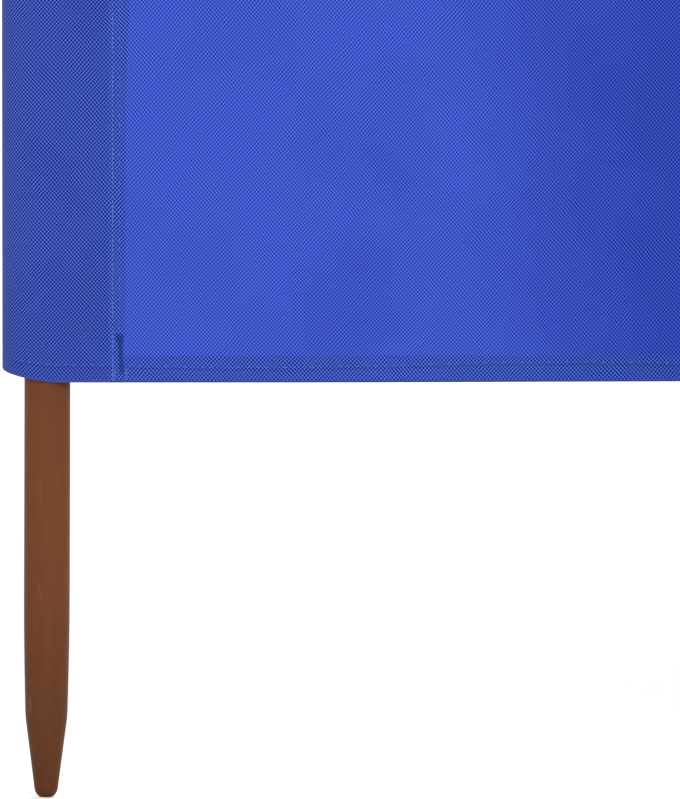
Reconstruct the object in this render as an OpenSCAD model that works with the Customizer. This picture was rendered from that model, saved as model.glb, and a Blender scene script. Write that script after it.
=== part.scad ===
// Beach windbreak: five wooden posts in sewn cloth sleeves, with four bays of cloth between them.
// X runs along the windbreak, -Y is its front, +Z is up.
// The origin is the flat tip of the middle post.

/* [Layout] */
// Distance between the axes of neighbouring posts
bay_pitch = 1000; // [600:10:1400]
// Height of the cloth
cloth_h = 800; // [500:10:1200]
// Length of post below the cloth, pushed into the sand
spike_len = 200; // [150:5:320]
// Length of post above the cloth
head_len = 38; // [15:1:80]
// How far the cloth of a bay sags backwards in the middle
sag = 12; // [4:1:22]

/* [Posts] */
// Diameter of a post inside its sleeve
post_d = 22; // [16:0.5:32]
// How much the spike's radius is less than the post's
spike_step = 0.1; // [0.1:0.05:0.6]
// Height of the slope between the spike and the post
step_h = 12; // [4:1:30]
// Length of the straight stretch of the spike
grip_len = 104; // [60:1:120]
// Radius lost along the curved taper below the straight stretch
taper_drop = 0.9; // [0.3:0.1:2]
// Height of the tapered point, from the tip
point_len = 39; // [25:1:50]
// Diameter where the point turns into its round end
tip_d = 11.6; // [8:0.2:14]
// Height of the round end
tip_round = 6; // [3:0.5:10]
// Diameter of the flat at the very tip
tip_flat_d = 4; // [2:0.5:7]
// Radius of the rounded edge of the post's head
head_round = 4; // [1:0.5:7]

/* [Cloth] */
// Thickness of one layer of cloth
cloth_t = 0.6; // [0.3:0.1:1]
// Space between layers that lie on each other
layer_gap = 0.1; // [0.05:0.05:0.3]
// Space between a post and the innermost layer of its sleeve
sleeve_gap = 0.3; // [0.2:0.05:0.6]
// Loose cloth between an end post and the fold of its sleeve
fold_slack = 10.6; // [6:0.2:16]
// How far the fold of an end sleeve lies behind the post's axis
fold_depth = 3; // [0:0.5:6]
// Cloth between a post and the edge of its sleeve, where the bay begins
seam_slack = 18.5; // [14:0.5:30]
// Width that the sleeve's two layers are sewn together over
sew_w = 3; // [1.5:0.5:6]
// Width of the sleeve's edge behind the bay's cloth
lap_w = 8; // [4:0.5:14]
// Height of the hems along the top and bottom edges
hem_h = 12; // [6:0.5:25]

/* [Hidden] */

middle_post = 3;
last_post = 5;
post_color = [0.46, 0.28, 0.18];
panel_color = [0.25, 0.35, 0.78];
sleeve_color = [0.23, 0.31, 0.68];
hem_color = [0.22, 0.32, 0.69];

post_r = post_d / 2;
spike_r = post_r - spike_step;
neck_r = spike_r - taper_drop;
grip_z = spike_len - grip_len;
cloth_top = spike_len + cloth_h;
post_top = cloth_top + head_len;

// Middle lines of the cloth, in plan
hem_in = 1.5 * cloth_t;
wrap_r = post_r + sleeve_gap + hem_in;
front_y = -wrap_r;
lap_y = front_y + cloth_t + layer_gap;
fold_x = post_r + fold_slack - cloth_t / 2;
seam_x = post_r + seam_slack;
lap_x = seam_x + lap_w;
sewn = [seam_x - sew_w, lap_y];
touch_a = atan2(sewn[1], sewn[0]) + acos(wrap_r / norm(sewn));

// Steps along the curves of a sleeve, a bay, a post's taper and a rounded edge
wrap_steps = 8;
fold_steps = 32;
sag_steps = 24;
taper_steps = 5;
edge_steps = 5;

function post_x(i) = (i - middle_post) * bay_pitch;
function unit(v) = v / norm(v);
function left_of(v) = [-v[1], v[0]];
function flip_x(path) = [for (i = [len(path) - 1 : -1 : 0]) [-path[i][0], path[i][1]]];

// Mitred normal on the left of a path at its point i
function normal_in(path, i) = left_of(unit(path[i] - path[i - 1]));
function normal_out(path, i) = left_of(unit(path[i + 1] - path[i]));
function normal_at(path, i) =
    i == 0 ? normal_out(path, i) :
    i == len(path) - 1 ? normal_in(path, i) :
    let (a = normal_in(path, i), b = normal_out(path, i)) (a + b) / (1 + a * b);

// Plan of a layer of cloth along a path, between two distances on the path's left
module layer(path, near, far) {
    last = len(path) - 1;
    polygon(concat(
        [for (i = [0 : last]) path[i] + near * normal_at(path, i)],
        [for (i = [last : -1 : 0]) path[i] + far * normal_at(path, i)]
    ));
}

// Path round the back of a post, from where the cloth first touches it to the post's back
function wrap_path() = [
    for (i = [0 : wrap_steps])
        let (a = touch_a + (90 - touch_a) * i / wrap_steps)
        wrap_r * [cos(a), sin(a)]
];

// Path from the back of an end post round the loose fold to the front of the post
function fold_path() = [
    for (i = [1 : fold_steps])
        let (
            a = 90 + 180 * i / fold_steps,
            reach = a < 180 ? wrap_r - fold_depth : wrap_r + fold_depth
        )
        [fold_x * cos(a), fold_depth + reach * sin(a)]
];

// Cloth raised from the lower edge, over a height
module raise(z, height) {
    translate([0, 0, z])
        linear_extrude(height = height)
            children();
}

// The strip over which the two layers of a sleeve are sewn together
module sewn_strip() {
    raise(spike_len, cloth_h)
        translate([sewn[0], front_y])
            square([sew_w, lap_y - front_y]);
}

// Turned-in hem at the bottom and the top of a sleeve
module sleeve_hem(path) {
    for (z = [spike_len, cloth_top - hem_h])
        raise(z, hem_h)
            layer(path, 0, hem_in);
}

// Post turned from one piece: rounded head, shaft, spike, curved taper and blunt point
module post(i) {
    tip_r = tip_d / 2;
    flat_r = tip_flat_d / 2;
    round_end = [
        for (k = [0 : edge_steps])
            let (a = 90 * k / edge_steps)
            [flat_r + (tip_r - flat_r) * sin(a), tip_round * (1 - cos(a))]
    ];
    taper = [
        for (k = [0 : taper_steps])
            let (s = k / taper_steps)
            [neck_r + taper_drop * sin(90 * s), point_len + (grip_z - point_len) * s]
    ];
    head_edge = [
        for (k = [0 : edge_steps])
            let (a = 90 * k / edge_steps)
            [post_r - head_round * (1 - cos(a)), post_top - head_round * (1 - sin(a))]
    ];
    color(post_color)
        translate([post_x(i), 0, 0])
            rotate_extrude($fn = 96)
                polygon(concat(
                    [[0, 0]],
                    round_end,
                    taper,
                    [[spike_r, spike_len], [post_r, spike_len + step_h]],
                    head_edge,
                    [[0, post_top]]
                ));
}

// Sleeve of an end post: one strip folded round the post and sewn to itself on the bay's side
module end_sleeve() {
    wrap = concat(wrap_path(), fold_path());
    raise(spike_len, cloth_h)
        layer(
            concat([[lap_x, lap_y], sewn], wrap, [[seam_x, front_y]]),
            -cloth_t / 2,
            cloth_t / 2
        );
    sewn_strip();
    sleeve_hem(concat(wrap, [[post_r, front_y]]));
}

module left_end_sleeve() {
    color(sleeve_color)
        translate([post_x(1), 0, 0])
            end_sleeve();
}

module right_end_sleeve() {
    color(sleeve_color)
        translate([post_x(last_post), 0, 0])
            mirror([1, 0, 0])
                end_sleeve();
}

// Sleeve of a post between two bays: a flat front strip and a pocket behind the post
module sleeve(i) {
    half = wrap_path();
    wrap = concat(half, [for (k = [1 : len(half) - 1]) flip_x(half)[k]]);
    pocket = concat([[lap_x, lap_y], sewn], wrap, flip_x([[lap_x, lap_y], sewn]));
    front = [[-seam_x, front_y], [seam_x, front_y]];
    front_hem = [[-post_r, front_y], [post_r, front_y]];
    color(sleeve_color)
        translate([post_x(i), 0, 0]) {
            raise(spike_len, cloth_h) {
                layer(pocket, -cloth_t / 2, cloth_t / 2);
                layer(front, -cloth_t / 2, cloth_t / 2);
            }
            sewn_strip();
            mirror([1, 0, 0])
                sewn_strip();
            sleeve_hem(wrap);
            sleeve_hem(front_hem);
        }
}

// Plan of the cloth of a bay at its middle line: flat on the laps and sagging backwards between
function sag_path(i) =
    let (start = post_x(i) + lap_x, span = bay_pitch - 2 * lap_x)
    [
        for (k = [0 : sag_steps])
            let (u = k / sag_steps)
            [start + span * u, front_y + sag * pow(sin(180 * u), 2)]
    ];

// Cloth between two distances behind the middle line of a bay, measured along Y
module behind(path, near, far) {
    last = len(path) - 1;
    polygon(concat(
        [for (k = [0 : last]) path[k] + [0, near]],
        [for (k = [last : -1 : 0]) path[k] + [0, far]]
    ));
}

// Cloth of a bay, from the edge of one sleeve to the edge of the next
module panel(i) {
    path = concat(
        [[post_x(i) + seam_x, front_y]],
        sag_path(i),
        [[post_x(i + 1) - seam_x, front_y]]
    );
    color(panel_color)
        raise(spike_len, cloth_h)
            behind(path, -cloth_t / 2, cloth_t / 2);
}

// Edge of a bay's cloth, turned to the back
module hem(i, z) {
    near = cloth_t / 2 + layer_gap;
    color(hem_color)
        raise(z, hem_h)
            behind(sag_path(i), near, near + cloth_t);
}

module bottom_hem(i) {
    hem(i, spike_len);
}

module top_hem(i) {
    hem(i, cloth_top - hem_h);
}

post(1);  // post_1
post(2);  // post_2
post(3);  // post_3
post(4);  // post_4
post(5);  // post_5
left_end_sleeve();
sleeve(2);  // sleeve_2
sleeve(3);  // sleeve_3
sleeve(4);  // sleeve_4
right_end_sleeve();
panel(1);  // panel_1
panel(2);  // panel_2
panel(3);  // panel_3
panel(4);  // panel_4
bottom_hem(1);  // bottom_hem_1
bottom_hem(2);  // bottom_hem_2
bottom_hem(3);  // bottom_hem_3
bottom_hem(4);  // bottom_hem_4
top_hem(1);  // top_hem_1
top_hem(2);  // top_hem_2
top_hem(3);  // top_hem_3
top_hem(4);  // top_hem_4
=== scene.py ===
"""Dresses the beach windbreak: woven cloth, sewn sleeves and hems, stained posts, stage and camera."""

import math

import bpy
import numpy as np
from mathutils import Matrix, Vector


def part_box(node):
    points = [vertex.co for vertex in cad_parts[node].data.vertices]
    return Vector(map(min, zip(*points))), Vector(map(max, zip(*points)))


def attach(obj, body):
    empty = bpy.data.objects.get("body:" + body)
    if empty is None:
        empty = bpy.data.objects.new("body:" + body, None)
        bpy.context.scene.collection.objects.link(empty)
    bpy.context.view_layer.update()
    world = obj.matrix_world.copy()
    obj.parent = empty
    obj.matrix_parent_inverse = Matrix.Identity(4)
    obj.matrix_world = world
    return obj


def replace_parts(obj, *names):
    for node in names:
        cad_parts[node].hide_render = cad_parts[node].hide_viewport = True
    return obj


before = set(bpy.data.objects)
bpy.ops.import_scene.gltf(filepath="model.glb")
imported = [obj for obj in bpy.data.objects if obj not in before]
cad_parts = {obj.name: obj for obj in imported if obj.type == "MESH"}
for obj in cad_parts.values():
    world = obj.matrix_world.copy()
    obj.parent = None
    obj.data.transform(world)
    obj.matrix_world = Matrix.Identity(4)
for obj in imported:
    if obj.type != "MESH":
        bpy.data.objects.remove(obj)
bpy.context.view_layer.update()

# Lengths are in metres
MM = 0.001

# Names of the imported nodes
BAYS = 4
POSTS = BAYS + 1
POST_NODES = ["post_%d" % i for i in range(1, POSTS + 1)]
SLEEVE_NODES = ["left_end_sleeve", "sleeve_2", "sleeve_3", "sleeve_4", "right_end_sleeve"]
PANEL_NODES = ["panel_%d" % i for i in range(1, BAYS + 1)]

# Sizes read from the frame
post_boxes = [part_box(name) for name in POST_NODES]
axis_x = [(low.x + high.x) / 2 for low, high in post_boxes]
post_r = (post_boxes[0][1].x - post_boxes[0][0].x) / 2
panel_low, panel_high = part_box("panel_1")
sleeve_low, sleeve_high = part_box("left_end_sleeve")
hem_low, hem_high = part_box("bottom_hem_1")
cloth_low = panel_low.z
cloth_h = panel_high.z - panel_low.z
hem_h = hem_high.z - hem_low.z
seam = panel_low.x - axis_x[0]
lap_w = sleeve_high.x - panel_low.x
panel_w = panel_high.x - panel_low.x
pitch = axis_x[1] - axis_x[0]

# Cloth: thickness of a layer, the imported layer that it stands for, and the width of a hem's turn
LAYER = 0.4 * MM
CAD_LAYER = 0.6 * MM
TURN = 0.6 * MM
wrap_r = -panel_low.y - LAYER / 2
fold_reach = axis_x[0] - sleeve_low.x - LAYER / 2
sag = panel_high.y - panel_low.y - CAD_LAYER

# Sleeves: how far the loose fold lies back, the sewn width, and the lap behind the bay's cloth
FOLD_BACK = 3 * MM
SEW_W = 3 * MM
LAP_DEPTH = 0.7 * MM
LAP_FOOT_DEPTH = 1.8 * MM
LAP_FOOT_TOP = 22 * MM
LAP_FOOT_FADE = 9 * MM

# Lift of the end sleeve's lower edge towards its fold
LIFT = 5.7 * MM
LIFT_REACH = 31 * MM
LIFT_POWER = 1.25
LIFT_FADE = 45 * MM

# Sway of an end sleeve's loose fold above its foot
SWAY = 1.3 * MM
SWAY_LENGTH = 0.31
SWAY_START = (0.2, 0.4)

# Grid of the cloth
FINE = 1.6 * MM
FINE_ZONE = 18 * MM
COARSE = 9 * MM
PATH_STEP = 2 * MM
TURN_STEPS = 4
WRAP_STEPS = 24
FOLD_STEPS = 90
CLOTH_SHARP = math.radians(50)

# Slack of the bays: long folds, small ripples, and swags that hang from the upper corners
# A fold has a wave length, a slant in waves over the cloth's height, the place of a hollow, and a depth
FOLDS = ((0.36, 0.6, 0.34, 3.2 * MM), (0.53, -0.1, 0.35, 2.4 * MM))
# The same folds get painted shade in their hollows, fading in between these distances from the side of a bay
FOLD_START = 0.10
FOLD_FULL = 0.27
FOLD_FOOT = 0.35
SLACK_SPAN = (0.15, 0.6)
RIPPLES = 4
RIPPLE_SEED = 11
RIPPLE_LENGTHS = (0.14, 0.32)
RIPPLE_SLANTS = (-0.5, 0.5)
RIPPLE_HEIGHTS = (0.5 * MM, 1.4 * MM)
RIPPLE_PHASES = (0, 2 * math.pi)
RIPPLE_SWELL = 0.35
SWAG_LENGTH = 0.15
SWAG_DROP = 0.09
SWAG_DEPTH = 2.0 * MM
SWAG_REACH = 0.25
TOP_DROOP = 6 * MM
DROOP_POWER = 3

# Sewing: pitch, length and width of the stitches of a row, and where the rows lie
INNER_STITCH = (2.3 * MM, 1.2 * MM, 0.6 * MM)
OUTER_STITCH = (4.6 * MM, 1.2 * MM, 0.3 * MM)
HEM_STITCH = (4.35 * MM, 1.2 * MM, 0.36 * MM)
INNER_ROW = 2.0 * MM
OUTER_ROW = 5.2 * MM
ROW_POINTS = 240

# Stitch row of a hem: its middle height, how far and over which length it wanders, and a low point
HEM_ROW = 8.2 * MM
HEM_WANDER = 1.1 * MM
HEM_WANDER_LENGTH = 0.30
HEM_WANDER_LOW = 0.10

# Tacks at the ends of a seam: place across, lowest and highest point, and the sizes of their stitches
TACK_STITCH = (1.5 * MM, 1.1 * MM, 0.55 * MM)
TACKS = ((1.9 * MM, 0.8 * MM, 13 * MM), (3.0 * MM, 0.8 * MM, 9 * MM), (8.3 * MM, 0.6 * MM, 7 * MM))

# Shape of a stitch: rings along it, corners round it, taper of its ends, half its height, and its rise
STITCH_ALONG = np.linspace(-0.5, 0.5, 4)
STITCH_ROUND = np.radians([0, 90, 180, 270])
STITCH_TAPER = 2.2
STITCH_HEIGHT = 1 / 3
STITCH_RISE = 0.14 * MM

# Posts: grid, worn edges, unevenness of the wood and how far each spike is crooked
POST_SIDES = 72
POST_STEP = 6 * MM
SPIKE_STEP = 2 * MM
SPIKE_TOP = 0.1
POST_SHARP = math.radians(40)
LEVEL_DIGITS = 5
WORN = 7
POST_SWELL = 1.008
UNEVEN = 0.003
UNEVEN_WAVES = 3
UNEVEN_WEIGHTS = (0.3, 1.0)
UNEVEN_LENGTHS = (0.07, 0.3)
UNEVEN_PHASES = (0, 6)
CROOK = np.array([-0.85, 0.6, -0.3, 0.7, 0.5]) * MM
CROOK_POWER = 1.2

# Colours as they show in daylight, in sRGB; in the cloth they hold painted light and shade: the single cloth
# is painted brighter than the doubled cloth of the laps, hems and sleeves, for the light that shines through
# one layer, and the dim, shade, bar and edge colours hold painted shade
SINGLE = (64, 87, 196)
# Dimmer colours of the single and the doubled cloth, for its cloudy tone and for the painted shade of its
# folds and corner patches
SINGLE_DIM = (48, 69, 169)
DOUBLE = (60, 83, 175)
DOUBLE_DIM = (53, 75, 163)
SLEEVE = (57, 78, 169)
SHADE = (42, 62, 140)
# Painted shade of the bar at a seam's ends and of the creases under the hems' stitches
BAR_AND_CREASE_SHADE = (39, 61, 135)
# Painted shade along the folded edges of the bays' cloth and of the sleeves
EDGE_SHADE = (58, 73, 134)
SLEEVE_EDGE_SHADE = (66, 80, 142)
THREAD = (108, 132, 228)
WOOD = (119, 69, 41)
WOOD_DARK = (104, 58, 33)
WOOD_TIP = (88, 51, 30)
WOOD_CHIP = (136, 84, 55)

# Weave: repeat of two yarns across and along the cloth, its swing in sRGB steps, and its relief
WEAVE_U = 1.81 * MM
WEAVE_V = 2.02 * MM
SINGLE_SWING = 29
DOUBLE_SWING = 54
WEAVE_BUMP = 0.35
WEAVE_RELIEF = 0.25 * MM

# Unevenness of the weave: scales of its noises, and how far the yarns drift, lean and swell
U_SEED = 1.7
V_SEED = 6.3
SLOW_SCALE = 5.0
SLOW_DRIFT = 14 * MM
FAST_SCALE = 55.0
FAST_DRIFT = 1.2 * MM
LEAN_SCALE = 38.0
LEAN_SWING = 0.7
LEAN_LEAST = 0.15
YARN_SCALE = 420.0
PATCH_SCALE = 70.0
SWELL = 2.6
SWELL_LEAST = -0.7

# Cloudy shades of the cloth, and its finish
PANEL_CLOUDS = 14.0
SLEEVE_CLOUDS = 16.0
CLOUD_DETAIL = 5.0
CLOUD_LEVEL = -0.42
CLOTH_ROUGHNESS = 0.9
CLOTH_GLOSS = 0.04
SLEEVE_SHEEN = 0.13

# Edges of the doubled cloth: the lap's wobble and blur, the hem's blur, and the spans of painted shade along
# the folded edges
WOBBLE_SCALE = 9.0
WOBBLE_WIDTH = 3 * MM
LAP_BLUR = 0.8 * MM
HEM_BLUR = (1.6 * MM, -0.1 * MM)
PANEL_EDGE = (1.3 * MM, 0.2 * MM)
SLEEVE_FOLD = (1.6 * MM, 0.3 * MM)

# Painted shade in the crease under the stitch row of a hem: how far below, its sides and its share of shade
CREASE_DROP = 1.1 * MM
CREASE_SIDES = (1.0 * MM, 0.1 * MM)
CREASE_SHADE = 0.3

# Painted shade of a soft darker patch near each corner of a bay: place from the side and the edge, reach and
# share of shade
SHADE_PATCH_SIDE = 118 * MM
SHADE_PATCH_EDGE = 39 * MM
SHADE_PATCH_REACH = 37 * MM
SHADE_PATCH_SHARE = 0.3

# Painted shade at the ends of a sleeve, where the hems lie behind its cloth and less light shines through:
# from and to which distance, and the share of shade
SLEEVE_END = (75 * MM, 20 * MM)
SLEEVE_END_SHADE = 0.18

# Where the lap behind the cloth strays wider: how far up, over which heights, and by how much
STRAY_HEIGHT = 0.21
STRAY_SPAN = (0.125, 0.195)
STRAY_WIDTH = 2.4 * MM

# Painted shade of a dark bar at the ends of a seam, where the cloth lies thick and creased: top, place,
# lean, wider head, sides and foot
BAR_TOP = 24 * MM
BAR_FADE = 2 * MM
BAR_PLACE = 6.5 * MM
BAR_LEAN = -0.055
BAR_HEAD = (18 * MM, 21 * MM)
BAR_HEAD_EXTRA = 0.7 * MM
BAR_SIDES = (1.7 * MM, 0.5 * MM)
BAR_FOOT = (2 * MM, 6 * MM)

# Thread: scale of its flecks, their swing in sRGB steps, and its finish
FLECK_SCALE = 1800.0
FLECK_SWING = 16
THREAD_ROUGHNESS = 0.8
THREAD_GLOSS = 0.03

# Noises of the wood: stretch along the post, scale and detail
GRAIN = (0.02, 900.0, 3.0)
FIGURE = (0.05, 120.0, 2.0)
CLOUDS = (0.5, 28.0, 2.0)
MARKS = (0.2, 170.0, 2.0)

# How the noises of the wood show: weights, levels and shifts in sRGB steps
GRAIN_WEIGHT = 0.8
FIGURE_WEIGHT = 0.9
STREAK_LEVEL = -0.55
DARK_FOOT = (0.15, -0.035)
FOOT_LIGHT = 4
FOOT_DARK = -10
CLOUDS_WEIGHT = 0.8
CLOUDS_LEVEL = -0.32
MARK_SPAN = (0.68, 0.76)
MARK_SHARE = 0.35
WOOD_ROUGHNESS = 0.42
ROUGHNESS_SWING = 0.15
WOOD_GLOSS = 0.08
WOOD_BUMP = 0.12
WOOD_RELIEF = 0.2 * MM

# Chips on the first post: place across, height, slant, half length and half width, and the core of a chip
CHIPS = ((-3.4 * MM, 99 * MM, 0.28, 7 * MM, 0.8 * MM), (-8.4 * MM, 45 * MM, 0.05, 6 * MM, 0.9 * MM))
CHIP_CORE_LENGTH = 1 / 3
CHIP_CORE_WIDTH = 1 / 4
CHIP_SHARE = 0.4

# Growth rings on the heads: width, offset of their heart, dark shift, and the slope that counts as a head
RING_WIDTH = 1.7 * MM
RING_OFFSET = 2.5 * MM
RING_DARK = -6
HEAD_SLOPE = (0.75, 0.95)

# Maps of the faces: cloth coordinates in metres, and the map that colours are baked through
CLOTH_MAP = "cloth"
BAKE_MAP = "OFBake"

# Bake map of a closed tube: share of its height for the side, and where its foot and its head lie above
SIDE_SHARE = 0.88
END_RADIUS = 0.05
FOOT_PLACE = (0.25, 0.94)
HEAD_PLACE = (0.75, 0.94)
STITCH_CELL = 0.9

# Stage: floor, its glow near and far, and the world's light
FLOOR_SIZE = 400.0
FLOOR_COLOR = (0.86, 0.86, 0.86, 1)
FLOOR_ROUGHNESS = 0.9
FLOOR_GLOW = 0.3
FAR_GLOW = 0.6
GLOW_SPAN = (4.0, 14.0)
WHITE = (1, 1, 1, 1)
WORLD_LEVEL = 0.55

# Lamps: place, target, size and power
LAMPS = {
    "key": ((2.6, -12.0, 6.5), (0, 0, 0.5), 7.0, 980),
    "fill": ((-13.0, -2.0, 3.0), (-2.0, 0, 0.4), 5.0, 130),
    "back": ((3.0, 12.0, 8.0), (0, 0, 0.5), 7.0, 950),
}

# Camera: the photo's frame and where the windbreak sits in it
PHOTO_W = 680
PHOTO_H = 799
POST_PX_WIDE = 46.0
POST_AXIS_PX = 47.4
TIP_PX = 797.6
PITCH = math.radians(4)
DISTANCE = 8.0
CLIP_END = 500


def srgb(color, shift=0):
    """Linear colour with alpha from sRGB steps of 0 to 255, shifted by some steps."""
    linear = []
    for step in color:
        value = min(max((step + shift) / 255, 0), 1)
        linear.append(value / 12.92 if value <= 0.04045 else ((value + 0.055) / 1.055) ** 2.4)
    return (*linear, 1.0)


def smooth(value, start, end):
    """0 before start, 1 after end, and a smooth step between."""
    share = np.clip((value - start) / (end - start), 0, 1)
    return share * share * (3 - 2 * share)


def line_lengths(points):
    """Length along a line of points to each of them."""
    return np.concatenate([[0], np.cumsum(np.linalg.norm(np.diff(points, axis=0), axis=1))])


def at_lengths(places, lengths, values):
    """Values along a line at some lengths, one column at a time."""
    return np.stack([np.interp(places, lengths, column) for column in values.T], -1)


# Meshes

def add_map(mesh, name, places):
    """UV map from one pair of coordinates a face corner."""
    layer = mesh.uv_layers.new(name=name)
    layer.data.foreach_set("uv", places.astype(np.float32).ravel())


def make_object(name, points, faces, cloth=None, baked=None):
    """Object from points and faces, with cloth coordinates a point or bake coordinates a corner."""
    mesh = bpy.data.meshes.new(name)
    mesh.from_pydata(points.tolist(), [], faces)
    if cloth is not None:
        corners = np.empty(len(mesh.loops), np.int32)
        mesh.loops.foreach_get("vertex_index", corners)
        add_map(mesh, CLOTH_MAP, cloth[corners])
        spread = cloth - cloth.min(axis=0)
        baked = (spread / spread.max(axis=0))[corners]
    if baked is not None:
        add_map(mesh, BAKE_MAP, baked)
    mesh.validate()
    mesh.shade_smooth()
    piece = bpy.data.objects.new(name, mesh)
    bpy.context.scene.collection.objects.link(piece)
    return piece


def tube_faces(rings, sides):
    """Quads round a tube whose points run round each ring in turn, and the corners of its two ends."""
    index = np.arange(rings * sides).reshape(rings, sides)
    ahead = np.roll(index, -1, axis=1)
    quads = np.stack([index[:-1], ahead[:-1], ahead[1:], index[1:]], -1).reshape(-1, 4)
    return quads, index[0, ::-1], index[-1]


def tube_map(heights, angle):
    """Bake places of a closed tube's face corners: its side unrolled, then its foot and head as discs."""
    rise = SIDE_SHARE * (heights - heights[0]) / (heights[-1] - heights[0])
    turn = np.linspace(0, 1, len(angle) + 1)
    grid = np.stack(np.broadcast_arrays(turn[None, :], rise[:, None]), -1)
    side = np.stack([grid[:-1, :-1], grid[:-1, 1:], grid[1:, 1:], grid[1:, :-1]], 2).reshape(-1, 2)
    disc = END_RADIUS * np.stack([np.cos(angle), np.sin(angle)], -1)
    return np.concatenate([side, disc[::-1] + FOOT_PLACE, disc + HEAD_PLACE])


def grid_faces(columns, rows, start=0):
    """Quads of a grid whose points run row by row within each column."""
    index = np.arange(columns * rows).reshape(columns, rows) + start
    corners = [index[:-1, :-1], index[1:, :-1], index[1:, 1:], index[:-1, 1:]]
    return np.stack(corners, -1).reshape(-1, 4)


def grid_normals(points):
    """Unit normals of a grid of points."""
    across = np.gradient(points, axis=0)
    along = np.gradient(points, axis=1)
    normals = np.cross(across, along)
    return normals / np.linalg.norm(normals, axis=2, keepdims=True)


def make_sheet(name, points, cloth):
    """Closed thin sheet of cloth about a grid of points, given their cloth coordinates."""
    columns, rows = points.shape[:2]
    count = columns * rows
    normals = grid_normals(points)
    faces_out = points + normals * LAYER / 2
    faces_in = points - normals * LAYER / 2
    outer = grid_faces(columns, rows)
    inner = grid_faces(columns, rows, count)[:, ::-1]
    index = np.arange(count).reshape(columns, rows)
    rim = np.concatenate([index[:, 0], index[-1, 1:], index[-2::-1, -1], index[0, -2:0:-1]])
    ahead = np.roll(rim, -1)
    edge = np.stack([rim, rim + count, ahead + count, ahead], -1)
    all_points = np.concatenate([faces_out.reshape(-1, 3), faces_in.reshape(-1, 3)])
    all_cloth = np.concatenate([cloth.reshape(-1, 2)] * 2)
    faces = np.concatenate([outer, inner, edge]).tolist()
    piece = make_object(name, all_points, faces, cloth=all_cloth)
    piece.data.set_sharp_from_angle(angle=CLOTH_SHARP)
    return piece


# Lines of the cloth's grid

def graded(length, start=0.0):
    """Places along a length, close together near both ends."""
    near = np.arange(start, FINE_ZONE, FINE)
    steps = round((length - 2 * FINE_ZONE) / COARSE)
    middle = np.linspace(FINE_ZONE, length - FINE_ZONE, steps + 1)
    return np.concatenate([near, middle, length - near[::-1]])


def section_lines():
    """Depth behind the front layer, height and cloth length along a vertical section with both hems."""
    radius = TURN / 2
    hem = np.arange(hem_h, radius + FINE / 2, -FINE)
    hem_depth = np.full(len(hem), TURN)
    turn = np.linspace(0, math.pi, TURN_STEPS + 1)
    turn_depth = radius * (1 + np.cos(turn))
    turn_z = radius * (1 - np.sin(turn))
    turn_length = np.linspace(-radius, radius, len(turn))
    front = graded(cloth_h, radius)[1:-1]
    front_depth = np.zeros(len(front))
    depth = np.concatenate([hem_depth, turn_depth, front_depth, turn_depth[::-1], hem_depth])
    z = np.concatenate([hem, turn_z, front, cloth_h - turn_z[::-1], cloth_h - hem[::-1]])
    length = np.concatenate([-hem, turn_length, front, cloth_h + turn_length, cloth_h + hem[::-1]])
    return depth, z, length


DEPTHS, HEIGHTS, LENGTHS = section_lines()


# The bays' cloth

def ripple_waves(bay):
    """Wave length, slant, height and two phases of each soft ripple of a bay."""
    draw = np.random.default_rng(RIPPLE_SEED + bay)
    spans = (RIPPLE_LENGTHS, RIPPLE_SLANTS, RIPPLE_HEIGHTS, RIPPLE_PHASES, RIPPLE_PHASES)
    return [[draw.uniform(*span) for span in spans] for _ in range(RIPPLES)]


def panel_surface(bay, across, up, depth=0.0):
    """Points of a bay's cloth at places across from its left edge, up from its foot and behind its front."""
    share = np.clip((across - lap_w) / (panel_w - 2 * lap_w), 0, 1)
    hang = np.sin(math.pi * share)
    y = -wrap_r + sag * hang ** 2 + depth
    slack = hang * (FOLD_FOOT + (1 - FOLD_FOOT) * smooth(up / cloth_h, *SLACK_SPAN))
    along = across + seam + bay * pitch
    for length, slant, hollow, height in FOLDS:
        wave = np.cos(2 * math.pi * ((along - hollow) / length + slant * up / cloth_h))
        y = y + height * slack * wave
    for length, slant, height, phase, shift in ripple_waves(bay):
        wave = np.sin(2 * math.pi * (across / length + slant * up / cloth_h) + phase)
        swell = 1 - RIPPLE_SWELL + RIPPLE_SWELL * np.sin(2 * math.pi * up / cloth_h + shift)
        y = y + height * slack * wave * swell
    below = np.clip(cloth_h - up, 0, None)
    swag = np.sin(2 * math.pi * (below - SWAG_DROP * hang) / SWAG_LENGTH + bay)
    y = y + SWAG_DEPTH * hang * swag * np.exp(-below / SWAG_REACH)
    x = axis_x[bay] + seam + across
    z = cloth_low + up - TOP_DROOP * hang ** 2 * np.clip(up / cloth_h, 0, 1) ** DROOP_POWER
    return np.stack(np.broadcast_arrays(x, y, z), -1)


def make_panel(bay):
    """Cloth of a bay with its turned hems, as one sheet."""
    across = graded(panel_w)[:, None]
    points = panel_surface(bay, across, HEIGHTS[None, :], DEPTHS[None, :])
    cloth = np.stack(np.broadcast_arrays(across + seam + bay * pitch, LENGTHS[None, :]), -1)
    return make_sheet(PANEL_NODES[bay] + "_cloth", points, cloth)


# The sleeves

def lap_points():
    """Lap behind the bay's cloth and the sewn seam, in plan."""
    return np.array([[seam + lap_w, -wrap_r + LAP_DEPTH], [seam - SEW_W, -wrap_r + LAP_DEPTH]])


def tangent_angle():
    """Angle at which the cloth from the seam touches the circle round the post."""
    seam_point = lap_points()[1]
    return math.atan2(seam_point[1], seam_point[0]) + math.acos(wrap_r / np.linalg.norm(seam_point))


def wrap_arc(start, end):
    """Points on the circle round the post between two angles."""
    angle = np.linspace(start, end, WRAP_STEPS)
    return wrap_r * np.stack([np.cos(angle), np.sin(angle)], -1)


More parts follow.
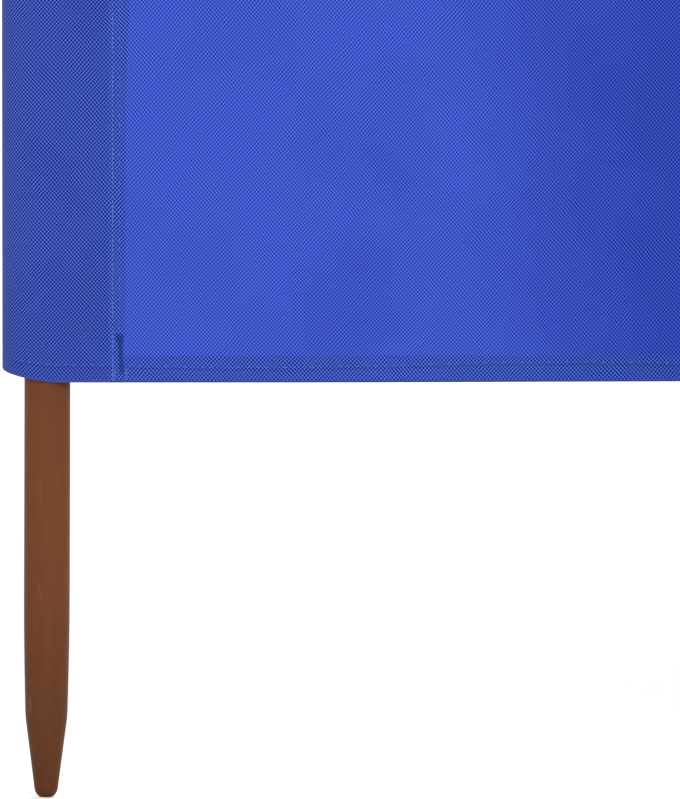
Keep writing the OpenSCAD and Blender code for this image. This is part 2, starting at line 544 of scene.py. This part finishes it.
def fold_arc():
    """Points from the post's back round the loose fold to its front."""
    angle = np.linspace(math.pi / 2, 3 * math.pi / 2, FOLD_STEPS)
    reach = np.where(angle < math.pi, wrap_r - FOLD_BACK, wrap_r + FOLD_BACK)
    return np.stack([fold_reach * np.cos(angle), FOLD_BACK + reach * np.sin(angle)], -1)


def end_path():
    """Plan of an end sleeve's strip, from the lap round the post to the front seam."""
    back = wrap_arc(tangent_angle(), math.pi / 2)
    return np.concatenate([lap_points(), back[:-1], fold_arc(), [[seam, -wrap_r]]])


def pocket_path():
    """Plan of the pocket behind a middle post, from lap to lap."""
    start = tangent_angle()
    flipped = lap_points()[::-1] * [-1, 1]
    return np.concatenate([lap_points(), wrap_arc(start, math.pi - start), flipped])


def front_path():
    """Plan of the flat front strip of a middle sleeve."""
    return np.array([[-seam, -wrap_r], [seam, -wrap_r]])


def spaced(path, step):
    """Points about a step apart along a path, with the length to each."""
    lengths = line_lengths(path)
    places = np.linspace(0, lengths[-1], round(lengths[-1] / step) + 1)
    return at_lengths(places, lengths, path), places


def path_normals(path):
    """Unit normals on the left of a plan path."""
    ahead = np.gradient(path, axis=0)
    left = np.stack([-ahead[:, 1], ahead[:, 0]], -1)
    return left / np.linalg.norm(left, axis=1, keepdims=True)


def lap_share(path):
    """1 on the laps behind the bays' cloth, fading to 0 round the post."""
    behind_front = path[:, 1] > -wrap_r + LAYER / 2
    return smooth(np.abs(path[:, 0]), post_r, seam - SEW_W) * behind_front


def lap_rise(up):
    """How much further back the lap lies where the turned hems come between the layers."""
    from_edge = np.minimum(up, cloth_h - up)
    away = smooth(from_edge, LAP_FOOT_TOP - LAP_FOOT_FADE, LAP_FOOT_TOP)
    return (LAP_FOOT_DEPTH - LAP_DEPTH) * (1 - away)


def strip_surface(path, lift, heights=HEIGHTS, depths=DEPTHS):
    """Grid of points of a sleeve's strip at heights on the cloth and depths inside its middle line."""
    normals = path_normals(path)
    x = path[:, 0, None] + normals[:, 0, None] * depths
    y = path[:, 1, None] + normals[:, 1, None] * depths
    y = y + lap_share(path)[:, None] * lap_rise(heights)
    z = cloth_low + heights + lift[:, None] * np.exp(-heights / LIFT_FADE)
    loose = np.clip(lift / LIFT, 0, 1)[:, None] * smooth(heights, *SWAY_START)
    x = x + SWAY * loose * np.sin(2 * math.pi * heights / SWAY_LENGTH)
    return np.stack([x, y, z], -1)


def end_lift(path, places):
    """Rise of an end sleeve's lower edge along its strip."""
    fold = places[np.argmin(path[:, 0])]
    return LIFT * np.clip(1 - np.abs(places - fold) / LIFT_REACH, 0, 1) ** LIFT_POWER


def strip_cloth(places):
    """Cloth coordinates of a strip whose last point lies at the seam."""
    across = places - places[-1] + seam
    return np.stack(np.broadcast_arrays(across[:, None], LENGTHS[None, :]), -1)


def place_rows(rows, side, post):
    """Stitch rows of a sleeve moved to its post, and mirrored where the bay lies on the left."""
    mirror = [side, 1, 1]
    place = [axis_x[post], 0, 0]
    return [(points * mirror + place, out * mirror, stitch) for points, out, stitch in rows]


def make_end_sleeve(name, post, side):
    """Sleeve of an end post, with its seam on the side of the bay, and its stitches."""
    path, places = spaced(end_path(), PATH_STEP)
    lift = end_lift(path, places)
    points = strip_surface(path, lift) * [side, 1, 1] + [axis_x[post], 0, 0]
    sheet = make_sheet(name + "_cloth", points[::side], strip_cloth(places)[::side])
    rows = place_rows(sleeve_rows(path, lift), side, post)
    return sheet, make_stitches(name + "_stitches", rows)


def make_middle_sleeve(name, post):
    """Pocket and front strip of a post between two bays, each with its stitches."""
    made = []
    for part, plan in (("pocket", pocket_path()), ("front", front_path())):
        path, places = spaced(plan, PATH_STEP)
        flat = np.zeros(len(path))
        points = strip_surface(path, flat) + [axis_x[post], 0, 0]
        label = "%s_%s" % (name, part)
        sheet = make_sheet(label, points, strip_cloth(places))
        rows = place_rows(sleeve_rows(path, flat), 1, post)
        made.append((sheet, make_stitches(label + "_stitches", rows)))
    return made


# Stitches

def stitch_shape(length, thick):
    """Points and faces of one stitch: a bowed, pointed thread along X, with Z away from the cloth."""
    width = np.cos(STITCH_ALONG * STITCH_TAPER)[:, None]
    x = STITCH_ALONG[:, None] * length
    y = width * np.cos(STITCH_ROUND) * thick / 2
    z = width * (np.sin(STITCH_ROUND) * thick * STITCH_HEIGHT + STITCH_RISE)
    points = np.stack(np.broadcast_arrays(x, y, z), -1).reshape(-1, 3)
    quads, foot, head = tube_faces(len(STITCH_ALONG), len(STITCH_ROUND))
    return points, np.concatenate([quads, [foot, head]])


def stitch_cells(count):
    """Bake places of the face corners of some stitches, each in a cell of its own."""
    shape = tube_map(STITCH_ALONG, STITCH_ROUND)
    cells = math.ceil(math.sqrt(count))
    corner = np.stack([np.arange(count) % cells, np.arange(count) // cells], -1)
    return ((corner[:, None, :] + STITCH_CELL * shape[None]) / cells).reshape(-1, 2)


def row_frames(points, normals, spacing):
    """Places and axes of stitches evenly spaced along a line on the cloth."""
    lengths = line_lengths(points)
    places = np.arange(spacing / 2, lengths[-1] - spacing / 4, spacing)
    middle = at_lengths(places, lengths, points)
    along = at_lengths(places + spacing / 4, lengths, points) - middle
    along /= np.linalg.norm(along, axis=1, keepdims=True)
    out = at_lengths(places, lengths, normals)
    out -= along * np.sum(out * along, axis=1, keepdims=True)
    out /= np.linalg.norm(out, axis=1, keepdims=True)
    return middle, along, np.cross(out, along), out


def make_stitches(name, rows):
    """One mesh of all stitches along rows of points and normals on the cloth."""
    all_points = []
    for points, normals, (spacing, length, thick) in rows:
        shape, faces = stitch_shape(length, thick)
        middle, along, across, out = row_frames(points, normals, spacing)
        axes = np.stack([along, across, out], 1)
        all_points.append(middle[:, None, :] + np.einsum("pk,skd->spd", shape, axes))
    points = np.concatenate(all_points)
    offsets = np.arange(len(points)) * len(shape)
    all_faces = (faces[None] + offsets[:, None, None]).reshape(-1, 4).tolist()
    return make_object(name, points.reshape(-1, 3), all_faces, baked=stitch_cells(len(points)))


def panel_row(bay, across, up, stitch, side, depth=0.0):
    """Stitch row on the front (side -1) or the back (side 1) of a bay's layers."""
    points = panel_surface(bay, across, up, depth + side * LAYER / 2)
    return points, np.broadcast_to([0.0, side, 0.0], points.shape), stitch


def sleeve_rows(path, lift):
    """Hem stitches round the outside of a sleeve's strip."""
    outward = np.concatenate([-path_normals(path), np.zeros((len(path), 1))], 1)
    heights = np.array([HEM_ROW, cloth_h - HEM_ROW])
    outside = np.full(len(heights), -LAYER / 2)
    points = strip_surface(path, lift, heights, outside)
    return [(points[:, k], outward, HEM_STITCH) for k in range(len(heights))]


def panel_rows(bay):
    """All stitch rows of a bay: the seams' rows, their tacks and the hems' rows."""
    rows = []
    line = np.linspace(0, 1, ROW_POINTS)
    for row, stitch, end in ((INNER_ROW, INNER_STITCH, 0.0), (OUTER_ROW, OUTER_STITCH, BAR_TOP)):
        up = end + line * (cloth_h - 2 * end)
        behind = LAP_DEPTH + lap_rise(up)
        for place in (row, panel_w - row):
            across = np.full(len(line), place)
            rows.append(panel_row(bay, across, up, stitch, -1))
            rows.append(panel_row(bay, across, up, stitch, 1, behind))
    for row, low, high in TACKS:
        up = low + line * (high - low)
        for place in (row, panel_w - row):
            across = np.full(len(line), place)
            for height in (up, cloth_h - up):
                rows.append(panel_row(bay, across, height, TACK_STITCH, -1))
    along_hem = lap_w + line * (panel_w - 2 * lap_w)
    wander = 2 * math.pi * (along_hem + seam + bay * pitch - HEM_WANDER_LOW) / HEM_WANDER_LENGTH
    row = HEM_ROW - HEM_WANDER * np.cos(wander)
    for up in (row, cloth_h - row):
        rows.append(panel_row(bay, along_hem, up, HEM_STITCH, -1))
        rows.append(panel_row(bay, along_hem, up, HEM_STITCH, 1, TURN))
    return rows


# Posts

def post_profile(node):
    """Heights and radii of a turned post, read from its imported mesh."""
    low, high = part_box(node)
    centre = (low + high) / 2
    places = np.array([v.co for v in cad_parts[node].data.vertices])
    radii = np.hypot(places[:, 0] - centre.x, places[:, 1] - centre.y)
    heights = np.round(places[:, 2], LEVEL_DIGITS)
    levels = np.unique(heights)
    return levels, np.array([radii[heights == z].max() for z in levels])


def worn_profile(node):
    """Heights and radii of a post whose profile is worn smooth everywhere but at its ends."""
    low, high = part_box(node)
    levels, radii = post_profile(node)
    every_mm = np.arange(low.z, high.z, MM)
    padded = np.pad(np.interp(every_mm, levels, radii), WORN, mode="edge")
    worn = np.convolve(padded, np.ones(WORN) / WORN, "same")[WORN:-WORN]
    spike = np.arange(low.z, SPIKE_TOP, SPIKE_STEP)
    shaft = np.arange(SPIKE_TOP, high.z, POST_STEP)
    heights = np.unique(np.round(np.concatenate([levels, spike, shaft]), LEVEL_DIGITS))
    near_end = (heights < low.z + WORN * MM) | (heights > high.z - 2 * WORN * MM)
    sharp = np.interp(heights, levels, radii)
    return heights, np.where(near_end, sharp, np.interp(heights, every_mm, worn))


def uneven_share(post, heights, angle):
    """Share of its radius that a post has at each height and angle, as hand-finished wood."""
    draw = np.random.default_rng(post)
    waves = 0.0
    for turns in range(UNEVEN_WAVES):
        weight = draw.uniform(*UNEVEN_WEIGHTS)
        length = draw.uniform(*UNEVEN_LENGTHS)
        phase = draw.uniform(*UNEVEN_PHASES)
        rise = 2 * math.pi * heights[:, None] / length
        waves = waves + weight * np.sin(rise + turns * angle[None, :] + phase)
    return POST_SWELL + UNEVEN * waves / UNEVEN_WAVES


def make_post(node):
    """Post with a smooth turned profile, slightly uneven and crooked."""
    low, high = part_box(node)
    centre = (low + high) / 2
    post = POST_NODES.index(node)
    heights, radius = worn_profile(node)
    angle = np.linspace(0, 2 * math.pi, POST_SIDES, endpoint=False)
    ring = radius[:, None] * uneven_share(post, heights, angle)
    crook = CROOK[post] * np.clip(1 - heights / cloth_low, 0, 1) ** CROOK_POWER
    x = centre.x + crook[:, None] + ring * np.cos(angle)
    y = centre.y + ring * np.sin(angle)
    points = np.stack(np.broadcast_arrays(x, y, heights[:, None]), -1).reshape(-1, 3)
    quads, foot, head = tube_faces(*ring.shape)
    faces = [*quads.tolist(), foot.tolist(), head.tolist()]
    piece = make_object(node + "_wood", points, faces, baked=tube_map(heights, angle))
    piece.data.set_sharp_from_angle(angle=POST_SHARP)
    return piece


# Materials

class Shader:
    """Node tree of a material or a world, whose nodes are added and linked one at a time."""

    # Sockets of a colour mix: its share, its two colours and its result
    MIX_SOCKETS = (0, 6, 7)
    MIX_RESULT = 2

    def __init__(self, owner, surface="Principled BSDF"):
        owner.use_nodes = True
        self.owner = owner
        self.tree = owner.node_tree
        self.surface = self.tree.nodes[surface]

    def node(self, kind, **settings):
        """New node with some settings."""
        made = self.tree.nodes.new(kind)
        for key, value in settings.items():
            setattr(made, key, value)
        return made

    def put(self, value, socket):
        """Links an output to a socket, or writes a plain value there."""
        if isinstance(value, bpy.types.NodeSocket):
            self.tree.links.new(value, socket)
        else:
            socket.default_value = value

    def math(self, operation, *values):
        """Result of a sum on one to three values."""
        made = self.node("ShaderNodeMath", operation=operation)
        for value, socket in zip(values, made.inputs):
            self.put(value, socket)
        return made.outputs[0]

    def step(self, value, start, end):
        """0 at start, 1 at end, and a smooth step between."""
        made = self.node("ShaderNodeMapRange", interpolation_type="SMOOTHSTEP")
        for item, key in ((value, "Value"), (start, "From Min"), (end, "From Max")):
            self.put(item, made.inputs[key])
        return made.outputs[0]

    def mix(self, share, first, second):
        """First colour, with a share of the second."""
        made = self.node("ShaderNodeMix", data_type="RGBA")
        for value, socket in zip((share, first, second), self.MIX_SOCKETS):
            self.put(value, made.inputs[socket])
        return made.outputs[self.MIX_RESULT]

    def split(self, vector):
        """The three parts of a vector."""
        made = self.node("ShaderNodeSeparateXYZ")
        self.put(vector, made.inputs[0])
        return made.outputs[0], made.outputs[1], made.outputs[2]

    def noise(self, vector, scale, detail):
        """Soft noise from 0 to 1."""
        made = self.node("ShaderNodeTexNoise")
        self.put(vector, made.inputs["Vector"])
        made.inputs["Scale"].default_value = scale
        made.inputs["Detail"].default_value = detail
        return made.outputs["Fac"]

    def vector_math(self, operation, vector, amount):
        """Vector multiplied by or added to another, part by part."""
        made = self.node("ShaderNodeVectorMath", operation=operation)
        self.put(vector, made.inputs[0])
        made.inputs[1].default_value = amount
        return made.outputs[0]

    def bump(self, height, strength, distance):
        """Relief of the surface."""
        made = self.node("ShaderNodeBump")
        made.inputs["Strength"].default_value = strength
        made.inputs["Distance"].default_value = distance
        self.put(height, made.inputs["Height"])
        self.put(made.outputs[0], self.surface.inputs["Normal"])

    def finish(self, color, roughness, specular, sheen=0.0):
        """The material with its colour and finish."""
        self.put(color, self.surface.inputs["Base Color"])
        self.put(roughness, self.surface.inputs["Roughness"])
        self.surface.inputs["Specular IOR Level"].default_value = specular
        self.surface.inputs["Sheen Weight"].default_value = sheen
        return self.owner


def new_shader(name):
    """Shader of a new material."""
    return Shader(bpy.data.materials.new(name))


def weave_nodes(shader):
    """Cloth coordinates in metres, and the light and dark lattice of a plain weave from 0 to 1."""
    uv = shader.node("ShaderNodeUVMap", uv_map=CLOTH_MAP).outputs[0]
    across, up, _ = shader.split(uv)
    waves = []
    for place, period, seed in ((across, WEAVE_U, U_SEED), (up, WEAVE_V, V_SEED)):
        shifted = shader.vector_math("ADD", uv, (seed, seed, 0.0))
        slow = shader.math("MULTIPLY_ADD", shader.noise(shifted, SLOW_SCALE, 0.0), SLOW_DRIFT, place)
        drift = shader.math("MULTIPLY_ADD", shader.noise(shifted, FAST_SCALE, 1.0), FAST_DRIFT, slow)
        waves.append(shader.math("MULTIPLY", drift, 2 * math.pi / period))
    lean = shader.math("MULTIPLY_ADD", shader.noise(uv, LEAN_SCALE, 1.0), LEAN_SWING, LEAN_LEAST)
    upright = shader.math("SUBTRACT", 1.0, lean)
    rising = shader.math("MULTIPLY", shader.math("COSINE", shader.math("SUBTRACT", *waves)), lean)
    falling = shader.math("MULTIPLY", shader.math("COSINE", shader.math("ADD", *waves)), upright)
    lattice = shader.math("SUBTRACT", rising, falling)
    patch = shader.math("MULTIPLY_ADD", shader.noise(uv, PATCH_SCALE, 1.0), SWELL, SWELL_LEAST)
    swell = shader.math("MULTIPLY_ADD", shader.noise(uv, YARN_SCALE, 2.0), SWELL, patch)
    swing = shader.math("MULTIPLY", lattice, swell)
    limited = shader.math("MINIMUM", shader.math("MAXIMUM", swing, -1.0), 1.0)
    weave = shader.math("MULTIPLY_ADD", limited, 0.5, 0.5)
    return uv, across, up, weave


def woven(shader, weave, color, swing):
    """Colour of the weave, dark and light yarns whose mean is the colour written."""
    middle, dark, light = [np.array(srgb(color, shift)) for shift in (0, -swing, swing)]
    level = 2 * middle / (dark + light)
    return shader.mix(weave, tuple(dark * level), tuple(light * level))


def edge_distance(shader, up):
    """Distance along the cloth from its nearer fold, at the foot or the top, on either side of it."""
    foot = shader.math("ABSOLUTE", up)
    top = shader.math("ABSOLUTE", shader.math("SUBTRACT", cloth_h, up))
    return shader.math("MINIMUM", foot, top)


def fold_shade(shader, across, up):
    """Share of painted shade from the long folds: 1 in a hollow of all of them, 0 on a ridge."""
    deepest = sum(height for _, _, _, height in FOLDS)
    shade = 0.5
    for length, slant, hollow, height in FOLDS:
        lean = shader.math("MULTIPLY_ADD", up, slant / cloth_h, -hollow / length)
        turns = shader.math("MULTIPLY_ADD", across, 1 / length, lean)
        wave = shader.math("COSINE", shader.math("MULTIPLY", turns, 2 * math.pi))
        shade = shader.math("MULTIPLY_ADD", wave, 0.5 * height / deepest, shade)
    return shade


def doubled_share(shader, uv, up, side, edge):
    """Share of the cloth that has the lap or the hem behind it, where the cloth is painted darker, as less
    light shines through.
    """
    stray = shader.step(shader.math("PINGPONG", up, STRAY_HEIGHT), *STRAY_SPAN)
    wobble = shader.math("SUBTRACT", shader.noise(uv, WOBBLE_SCALE, 1.0), 0.5)
    width = shader.math("MULTIPLY_ADD", stray, STRAY_WIDTH, lap_w)
    width = shader.math("MULTIPLY_ADD", wobble, WOBBLE_WIDTH, width)
    lap = shader.step(shader.math("SUBTRACT", width, side), -LAP_BLUR, LAP_BLUR)
    hem = shader.step(edge, hem_h + HEM_BLUR[0], hem_h + HEM_BLUR[1])
    return shader.math("MAXIMUM", lap, hem)


def bar_shade_share(shader, side, edge):
    """Share of the painted shade of the dark bar at the ends of a seam, where the cloth lies thick and
    creased.
    """
    place = shader.math("MULTIPLY_ADD", edge, BAR_LEAN, BAR_PLACE)
    wider = shader.math("MULTIPLY", shader.step(edge, *BAR_HEAD), BAR_HEAD_EXTRA)
    aside = shader.math("ABSOLUTE", shader.math("SUBTRACT", side, place))
    across = shader.step(shader.math("SUBTRACT", aside, wider), *BAR_SIDES)
    below_top = shader.step(edge, BAR_TOP, BAR_TOP - BAR_FADE)
    above_foot = shader.step(edge, *BAR_FOOT)
    return shader.math("MULTIPLY", across, shader.math("MULTIPLY", below_top, above_foot))


def hem_crease(shader, edge, row):
    """Painted shade of the crease under a hem's stitch row."""
    below = shader.math("SUBTRACT", row, CREASE_DROP)
    off_crease = shader.math("ABSOLUTE", shader.math("SUBTRACT", edge, below))
    return shader.math("MULTIPLY", shader.step(off_crease, *CREASE_SIDES), CREASE_SHADE)


def wandering_row(shader, across):
    """Height of the stitch row of a bay's hem above the folded edge."""
    start = -HEM_WANDER_LOW / HEM_WANDER_LENGTH
    turns = shader.math("MULTIPLY_ADD", across, 1 / HEM_WANDER_LENGTH, start)
    wave = shader.math("COSINE", shader.math("MULTIPLY", turns, 2 * math.pi))
    return shader.math("MULTIPLY_ADD", wave, -HEM_WANDER, HEM_ROW)


def corner_shade_patch(shader, side, edge):
    """Painted shade of the soft darker patch near each corner of a bay."""
    off_side = shader.math("SUBTRACT", side, SHADE_PATCH_SIDE)
    off_edge = shader.math("SUBTRACT", edge, SHADE_PATCH_EDGE)
    squares = shader.math("MULTIPLY_ADD", off_side, off_side, shader.math("MULTIPLY", off_edge, off_edge))
    return shader.math("MULTIPLY", shader.step(squares, SHADE_PATCH_REACH ** 2, 0.0), SHADE_PATCH_SHARE)


def shaded_cloth(shader, weave, shade, colors, swing):
    """Weave between a bright and a dim colour, by a shade from 0 to 1."""
    bright, dim = [woven(shader, weave, color, swing) for color in colors]
    return shader.mix(shade, bright, dim)


def panel_material():
    """Single cloth, dimmer in its folds by painted shade, and painted darker where a lap, a hem or a thick
    corner lies behind it, as less light shines through; painted shade also lies in a soft patch near each
    corner, in the creases under the hems' stitches and along the folded edges.
    """
    shader = new_shader("windbreak_panel_cloth")
    uv, across, up, weave = weave_nodes(shader)
    from_left = shader.math("SUBTRACT", shader.math("MODULO", across, pitch), seam)
    side = shader.math("MINIMUM", from_left, shader.math("SUBTRACT", panel_w, from_left))
    edge = edge_distance(shader, up)
    # Painted shade in the hollows of the long folds, away from the sleeves
    slack = shader.step(side, FOLD_START, FOLD_FULL)
    folds = shader.math("MULTIPLY", slack, fold_shade(shader, across, up))
    clouds = shader.math("ADD", shader.noise(uv, PANEL_CLOUDS, CLOUD_DETAIL), CLOUD_LEVEL)
    # Share of shade: painted fold shade, the cloudy tone and the painted shade of the corner patch
    shade = shader.math("ADD", shader.math("ADD", folds, clouds), corner_shade_patch(shader, side, edge))
    single = shaded_cloth(shader, weave, shade, (SINGLE, SINGLE_DIM), SINGLE_SWING)
    double = shaded_cloth(shader, weave, shade, (DOUBLE, DOUBLE_DIM), DOUBLE_SWING)
    # Painted shade in the crease under the hem's stitch row, in the bar's dark colour
    crease = hem_crease(shader, edge, wandering_row(shader, across))
    double = shader.mix(crease, double, woven(shader, weave, BAR_AND_CREASE_SHADE, DOUBLE_SWING))
    # Painted shade: the cloth is darker where a lap or a hem lies behind it, as less light shines through
    # the doubled cloth
    color = shader.mix(doubled_share(shader, uv, up, side, edge), single, double)
    # Painted shade of the bar at the ends of a seam
    thick = woven(shader, weave, BAR_AND_CREASE_SHADE, SINGLE_SWING)
    color = shader.mix(bar_shade_share(shader, side, edge), color, thick)
    # Painted shade along the folded edges at the foot and the top
    color = shader.mix(shader.step(edge, *PANEL_EDGE), color, srgb(EDGE_SHADE))
    shader.bump(weave, WEAVE_BUMP, WEAVE_RELIEF)
    return shader.finish(color, CLOTH_ROUGHNESS, CLOTH_GLOSS)


def sleeve_material():
    """Doubled cloth of the sleeves, painted darker at their ends, with painted shade in a faint crease under
    the hems' stitches and along the folded edges.
    """
    shader = new_shader("windbreak_sleeve_cloth")
    uv, _, up, weave = weave_nodes(shader)
    edge = edge_distance(shader, up)
    clouds = shader.math("ADD", shader.noise(uv, SLEEVE_CLOUDS, CLOUD_DETAIL), CLOUD_LEVEL)
    # Painted shade towards the ends of the sleeve, on top of its cloudy tone
    shade = shader.math("MULTIPLY_ADD", shader.step(edge, *SLEEVE_END), SLEEVE_END_SHADE, clouds)
    # Painted shade in the crease under the hems' stitch rows
    shade = shader.math("ADD", shade, hem_crease(shader, edge, HEM_ROW))
    color = shaded_cloth(shader, weave, shade, (SLEEVE, SHADE), DOUBLE_SWING)
    # Painted shade along the folded edges at the foot and the top
    color = shader.mix(shader.step(edge, *SLEEVE_FOLD), color, srgb(SLEEVE_EDGE_SHADE))
    shader.bump(weave, WEAVE_BUMP, WEAVE_RELIEF)
    return shader.finish(color, CLOTH_ROUGHNESS, CLOTH_GLOSS, SLEEVE_SHEEN)


def thread_material():
    """Sewing thread, a little lighter than the cloth."""
    shader = new_shader("windbreak_thread")
    place = shader.node("ShaderNodeTexCoord").outputs["Object"]
    fleck = shader.noise(place, FLECK_SCALE, 1.0)
    color = shader.mix(fleck, srgb(THREAD, -FLECK_SWING), srgb(THREAD, FLECK_SWING))
    return shader.finish(color, THREAD_ROUGHNESS, THREAD_GLOSS)


def wood_noise(shader, place, stretch, scale, detail):
    """Noise drawn out along the post."""
    return shader.noise(shader.vector_math("MULTIPLY", place, (1.0, 1.0, stretch)), scale, detail)


def chip_share(shader, place, across, height, slant, length, width):
    """Share of a chip on the front of the first post, at a place across from its axis and a height."""
    x, y, z = shader.split(place)
    off_z = shader.math("SUBTRACT", z, height)
    off_x = shader.math("SUBTRACT", x, axis_x[0] + across)
    aside = shader.math("ABSOLUTE", shader.math("MULTIPLY_ADD", off_z, slant, off_x))
    inside = shader.step(aside, width, width * CHIP_CORE_WIDTH)
    along = shader.step(shader.math("ABSOLUTE", off_z), length, length * CHIP_CORE_LENGTH)
    in_front = shader.math("LESS_THAN", y, 0.0)
    return shader.math("MULTIPLY", shader.math("MULTIPLY", inside, along), in_front)


def end_grain(shader, place):
    """Growth rings on the head of a post, from 0 to 1, and the share of the surface that faces up."""
    x, y, _ = shader.split(place)
    nearest_axis = shader.math("SNAP", shader.math("ADD", x, pitch / 2), pitch)
    off_x = shader.math("ADD", shader.math("SUBTRACT", x, nearest_axis), RING_OFFSET)
    squares = shader.math("MULTIPLY_ADD", off_x, off_x, shader.math("MULTIPLY", y, y))
    radius = shader.math("SQRT", squares)
    rings = shader.math("SINE", shader.math("MULTIPLY", radius, 2 * math.pi / RING_WIDTH))
    _, _, facing_up = shader.split(shader.node("ShaderNodeNewGeometry").outputs["Normal"])
    return shader.math("MULTIPLY_ADD", rings, 0.5, 0.5), shader.step(facing_up, *HEAD_SLOPE)


def wood_material():
    """Brown stained wood: fine grain along the post, chips, rings on its head, and a darker tip."""
    shader = new_shader("windbreak_post_wood")
    place = shader.node("ShaderNodeTexCoord").outputs["Object"]
    _, _, z = shader.split(place)
    grain = wood_noise(shader, place, *GRAIN)
    figure = wood_noise(shader, place, *FIGURE)
    streak = shader.math("MULTIPLY_ADD", figure, FIGURE_WEIGHT, STREAK_LEVEL)
    streak = shader.math("MULTIPLY_ADD", grain, GRAIN_WEIGHT, streak)
    color = shader.mix(streak, srgb(WOOD), srgb(WOOD_DARK))
    foot = shader.mix(streak, srgb(WOOD_TIP, FOOT_LIGHT), srgb(WOOD_TIP, FOOT_DARK))
    color = shader.mix(shader.step(z, *DARK_FOOT), color, foot)
    clouds = shader.math("MULTIPLY_ADD", wood_noise(shader, place, *CLOUDS), CLOUDS_WEIGHT, CLOUDS_LEVEL)
    color = shader.mix(clouds, color, srgb(WOOD_TIP))
    marks = shader.step(wood_noise(shader, place, *MARKS), *MARK_SPAN)
    chips = shader.math("MULTIPLY", marks, MARK_SHARE)
    for chip in CHIPS:
        share = shader.math("MULTIPLY", chip_share(shader, place, *chip), CHIP_SHARE)
        chips = shader.math("MAXIMUM", chips, share)
    color = shader.mix(chips, color, srgb(WOOD_CHIP))
    rings, on_head = end_grain(shader, place)
    head = shader.mix(rings, srgb(WOOD_TIP, RING_DARK), srgb(WOOD_DARK))
    color = shader.mix(on_head, color, head)
    roughness = shader.math("MULTIPLY_ADD", figure, ROUGHNESS_SWING, WOOD_ROUGHNESS)
    shader.bump(grain, WOOD_BUMP, WOOD_RELIEF)
    return shader.finish(color, roughness, WOOD_GLOSS)


def dress(piece, material):
    """Gives a piece its material and slot, and lets it ride on the windbreak."""
    piece.data.materials.append(material)
    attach(piece, "root")
    return piece


# Making the windbreak
panel_cloth = panel_material()
sleeve_cloth = sleeve_material()
thread = thread_material()
wood = wood_material()

for node in POST_NODES:
    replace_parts(dress(make_post(node), wood), node)

pocket_cut = spaced(pocket_path(), PATH_STEP)[1][-1]
for name, post, side in ((SLEEVE_NODES[0], 0, 1), (SLEEVE_NODES[-1], BAYS, -1)):
    sleeve, stitches = make_end_sleeve(name, post, side)
    dress(sleeve, sleeve_cloth)
    dress(stitches, thread)
    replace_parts(sleeve, name)

for post in range(1, BAYS):
    name = SLEEVE_NODES[post]
    for (strip, stitches), cut in zip(make_middle_sleeve(name, post), (pocket_cut, 2 * seam)):
        dress(strip, sleeve_cloth)
        dress(stitches, thread)
        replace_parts(strip, name)

for bay in range(BAYS):
    panel = dress(make_panel(bay), panel_cloth)
    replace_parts(panel, PANEL_NODES[bay], "bottom_hem_%d" % (bay + 1), "top_hem_%d" % (bay + 1))
    stitches = make_stitches(PANEL_NODES[bay] + "_stitches", panel_rows(bay))
    dress(stitches, thread)


# Stage

def background_share(shader):
    """1 for rays that show the background to the camera, to gloss or through glass."""
    path = shader.node("ShaderNodeLightPath")
    seen = shader.math("MAXIMUM", path.outputs["Is Camera Ray"], path.outputs["Is Glossy Ray"])
    return shader.math("MAXIMUM", seen, path.outputs["Is Transmission Ray"])


def make_floor():
    """Pale floor that keeps the shadow and shows white to the camera."""
    half = FLOOR_SIZE / 2
    corners = np.array([[-half, -half, 0], [half, -half, 0], [half, half, 0], [-half, half, 0]])
    floor = make_object("floor", corners, [[0, 1, 2, 3]])
    shader = new_shader("floor_pale")
    shader.surface.inputs["Base Color"].default_value = FLOOR_COLOR
    shader.surface.inputs["Roughness"].default_value = FLOOR_ROUGHNESS
    shader.surface.inputs["Emission Color"].default_value = WHITE
    away = shader.node("ShaderNodeVectorMath", operation="LENGTH")
    shader.put(shader.node("ShaderNodeNewGeometry").outputs["Position"], away.inputs[0])
    far = shader.step(away.outputs["Value"], *GLOW_SPAN)
    level = shader.math("MULTIPLY_ADD", far, FAR_GLOW - FLOOR_GLOW, FLOOR_GLOW)
    glow = shader.math("MULTIPLY", background_share(shader), level)
    shader.put(glow, shader.surface.inputs["Emission Strength"])
    floor.data.materials.append(shader.owner)


def make_world():
    """Even white light from all round, and a white background."""
    shader = Shader(bpy.data.worlds.new("soft_light"), "Background")
    shader.surface.inputs["Color"].default_value = WHITE
    level = shader.math("MULTIPLY_ADD", background_share(shader), 1 - WORLD_LEVEL, WORLD_LEVEL)
    shader.put(level, shader.surface.inputs["Strength"])
    bpy.context.scene.world = shader.owner


def make_light(name, place, target, size, power):
    """Large soft lamp aimed at a point."""
    lamp = bpy.data.lights.new(name, "AREA")
    lamp.shape = "DISK"
    lamp.size = size
    lamp.energy = power
    holder = bpy.data.objects.new(name, lamp)
    holder.location = place
    holder.rotation_euler = (Vector(target) - Vector(place)).to_track_quat("-Z", "Y").to_euler()
    holder.visible_camera = False
    bpy.context.scene.collection.objects.link(holder)


def make_camera():
    """Long lens a little above the hem, looking square on to the windbreak's lower left corner."""
    pixel = 2 * post_r / POST_PX_WIDE
    aim_x = axis_x[0] + (PHOTO_W / 2 - POST_AXIS_PX) * pixel
    aim_z = (TIP_PX - PHOTO_H / 2) * pixel / math.cos(PITCH)
    lens = bpy.data.cameras.new("camera")
    lens.lens = lens.sensor_width * DISTANCE / (PHOTO_H * pixel)
    lens.clip_end = CLIP_END
    camera = bpy.data.objects.new("camera", lens)
    camera.location = (aim_x, -DISTANCE * math.cos(PITCH), aim_z + DISTANCE * math.sin(PITCH))
    camera.rotation_euler = (math.pi / 2 - PITCH, 0, 0)
    bpy.context.scene.collection.objects.link(camera)
    bpy.context.scene.camera = camera


make_floor()
make_world()
for name, lamp in LAMPS.items():
    make_light(name, *lamp)
make_camera()
bpy.context.scene.view_settings.view_transform = "Standard"
